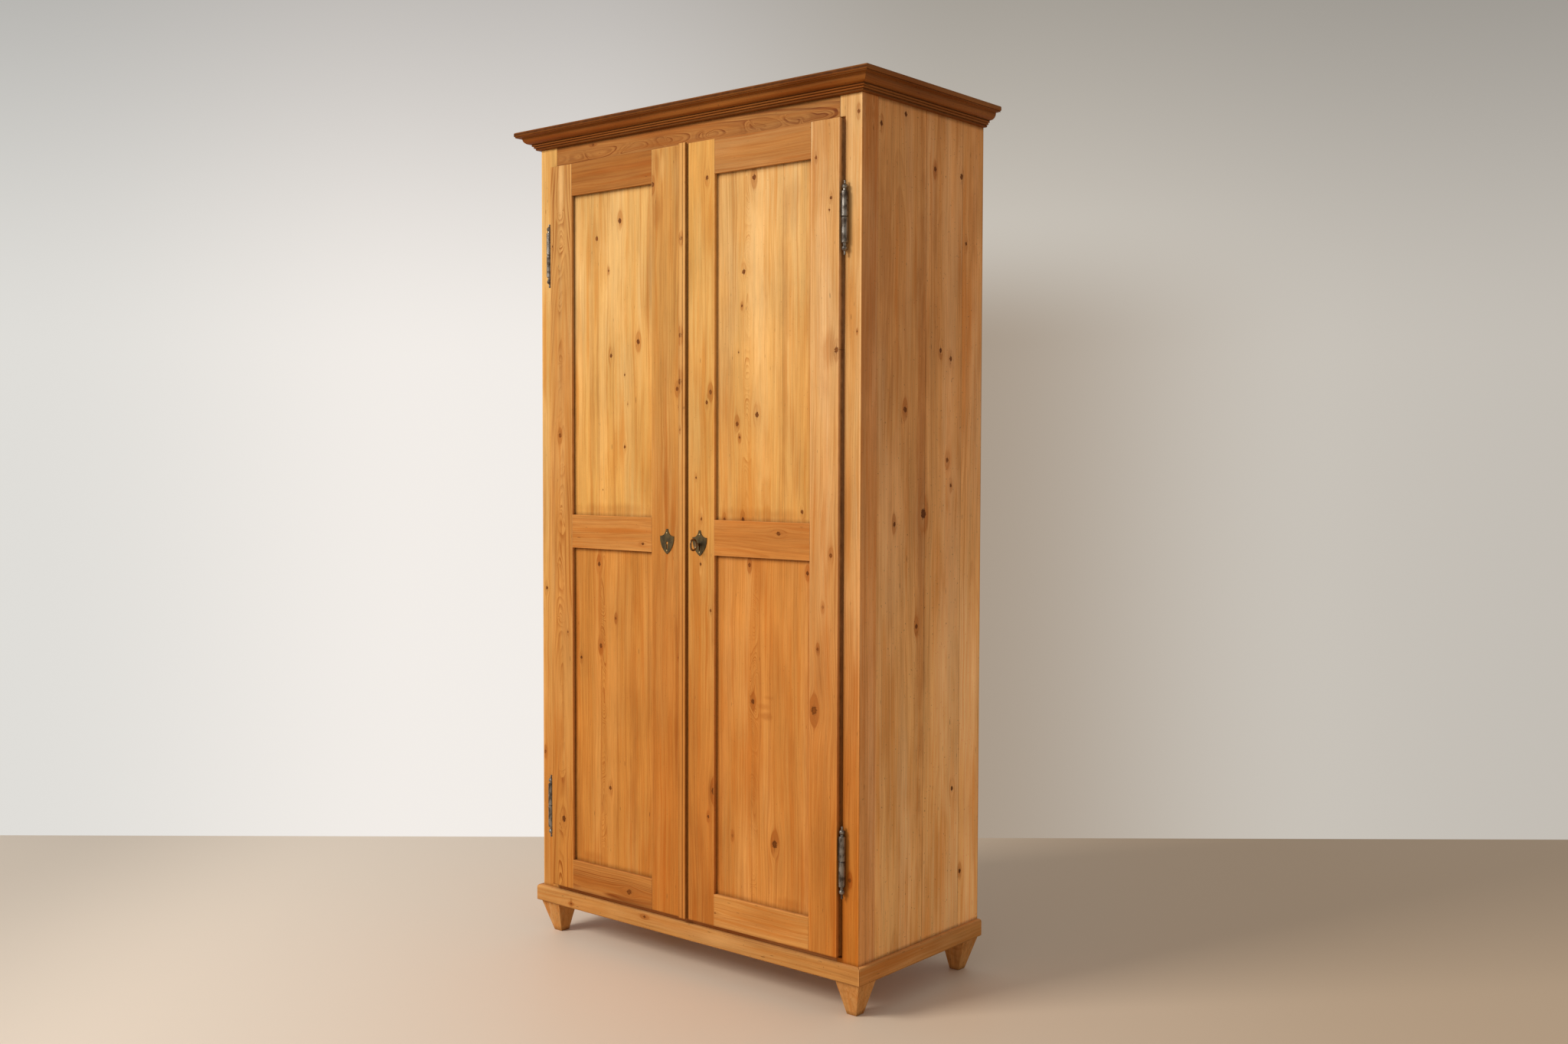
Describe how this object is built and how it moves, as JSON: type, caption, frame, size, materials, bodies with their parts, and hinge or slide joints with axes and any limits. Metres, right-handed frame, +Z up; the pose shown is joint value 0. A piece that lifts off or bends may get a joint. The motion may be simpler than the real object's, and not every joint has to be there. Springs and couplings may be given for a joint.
{
  "type": "wardrobe",
  "caption": "Freestanding pine wardrobe with frame-and-panel double doors, turned-finial hinges, keyed lock, moulded cornice, plinth and tapered feet, for hanging clothes and storing hats.",
  "frame": {"origin": "on the floor, at the middle of the outline's bounding box, cornice included", "axes": "+Z up, -Y is the front with the doors, +X is to the right of someone who faces the doors"},
  "size_m": [1.05, 0.49, 1.92],
  "materials": {
    "waxed_pine": "honey-coloured waxed pine with knots, worn light on the edges",
    "panel_pine": "waxed pine panel boards with knots",
    "side_pine": "waxed pine, slightly browner, scratched",
    "cornice_pine": "pine stained reddish brown, worn light on the outer edge",
    "plinth_pine": "light waxed pine, worn",
    "bare_pine": "unfinished dry pine, dulled by age",
    "dark_iron": "dark aged iron, worn grey on the edges",
    "old_brass": "nearly black, patinated brass",
    "lock_steel": "dull grey sheet steel with brown age spots",
    "key_steel": "old iron key, worn and lightly rusted"
  },
  "bodies": {
    "carcass": {"left_front_post": "waxed_pine", "right_front_post": "waxed_pine", "frieze_rail": "waxed_pine", "bottom_rail": "waxed_pine", "left_side_panel": "side_pine", "right_side_panel": "side_pine", "back_boards": "bare_pine", "floor_boards": "bare_pine", "top_boards": "bare_pine", "cornice_front": "cornice_pine", "cornice_left": "cornice_pine", "cornice_right": "cornice_pine", "cornice_glue_blocks": "bare_pine", "plinth_front": "plinth_pine", "plinth_left": "plinth_pine", "plinth_right": "plinth_pine", "front_left_foot": "plinth_pine", "front_right_foot": "plinth_pine", "rear_left_foot": "plinth_pine", "rear_right_foot": "plinth_pine", "rear_foot_blocks": "bare_pine", "hat_shelf": "bare_pine", "shelf_bearers": "bare_pine", "hanging_rail": "waxed_pine", "rail_sockets": "bare_pine", "left_upper_hinge_frame_leaf": "dark_iron", "left_lower_hinge_frame_leaf": "dark_iron", "right_upper_hinge_frame_leaf": "dark_iron", "right_lower_hinge_frame_leaf": "dark_iron"},
    "left_door": {"left_door_hinge_stile": "waxed_pine", "left_door_meeting_stile": "waxed_pine", "left_door_top_rail": "waxed_pine", "left_door_middle_rail": "waxed_pine", "left_door_bottom_rail": "waxed_pine", "left_door_upper_panel": "panel_pine", "left_door_lower_panel": "panel_pine", "meeting_strip": "waxed_pine", "left_escutcheon": "old_brass", "left_escutcheon_pins": "old_brass", "left_upper_hinge_door_leaf": "dark_iron", "left_lower_hinge_door_leaf": "dark_iron", "bolt_keeper": "lock_steel", "slide_bolt_guides": "dark_iron"},
    "right_door": {"right_door_hinge_stile": "waxed_pine", "right_door_meeting_stile": "waxed_pine", "right_door_top_rail": "waxed_pine", "right_door_middle_rail": "waxed_pine", "right_door_bottom_rail": "waxed_pine", "right_door_upper_panel": "panel_pine", "right_door_lower_panel": "panel_pine", "right_escutcheon": "old_brass", "right_escutcheon_pins": "old_brass", "right_upper_hinge_door_leaf": "dark_iron", "right_lower_hinge_door_leaf": "dark_iron", "lock_plate": "lock_steel", "lock_case": "lock_steel"},
    "key": {"key": "key_steel"},
    "lock_bolt": {"lock_bolt": "lock_steel"},
    "top_slide_bolt": {"top_slide_bolt": "dark_iron"},
    "bottom_slide_bolt": {"bottom_slide_bolt": "dark_iron"}
  },
  "joints": [
    {"name": "right_door_hinge", "type": "hinge", "parent": "carcass", "child": "right_door", "pos_m": [0.442, -0.207, 1], "axis": [0, 0, 1], "range_deg": [0, 175]},
    {"name": "left_door_hinge", "type": "hinge", "parent": "carcass", "child": "left_door", "pos_m": [-0.442, -0.207, 1], "axis": [0, 0, -1], "range_deg": [0, 175]},
    {"name": "key_turn", "type": "hinge", "parent": "right_door", "child": "key", "pos_m": [0.05075, -0.2, 0.959], "axis": [0, -1, 0], "range_deg": [0, 360]},
    {"name": "lock_bolt_slide", "type": "slide", "parent": "right_door", "child": "lock_bolt", "axis": [-1, 0, 0], "range_m": [0, 0.012]},
    {"name": "top_slide_bolt_slide", "type": "slide", "parent": "left_door", "child": "top_slide_bolt", "axis": [0, 0, 1], "range_m": [0, 0.014]},
    {"name": "bottom_slide_bolt_slide", "type": "slide", "parent": "left_door", "child": "bottom_slide_bolt", "axis": [0, 0, -1], "range_m": [0, 0.014]}
  ],
  "couplings": [
    {"joint": "key_turn", "follows": "lock_bolt_slide", "rad_per_m": 523.6}
  ]
}
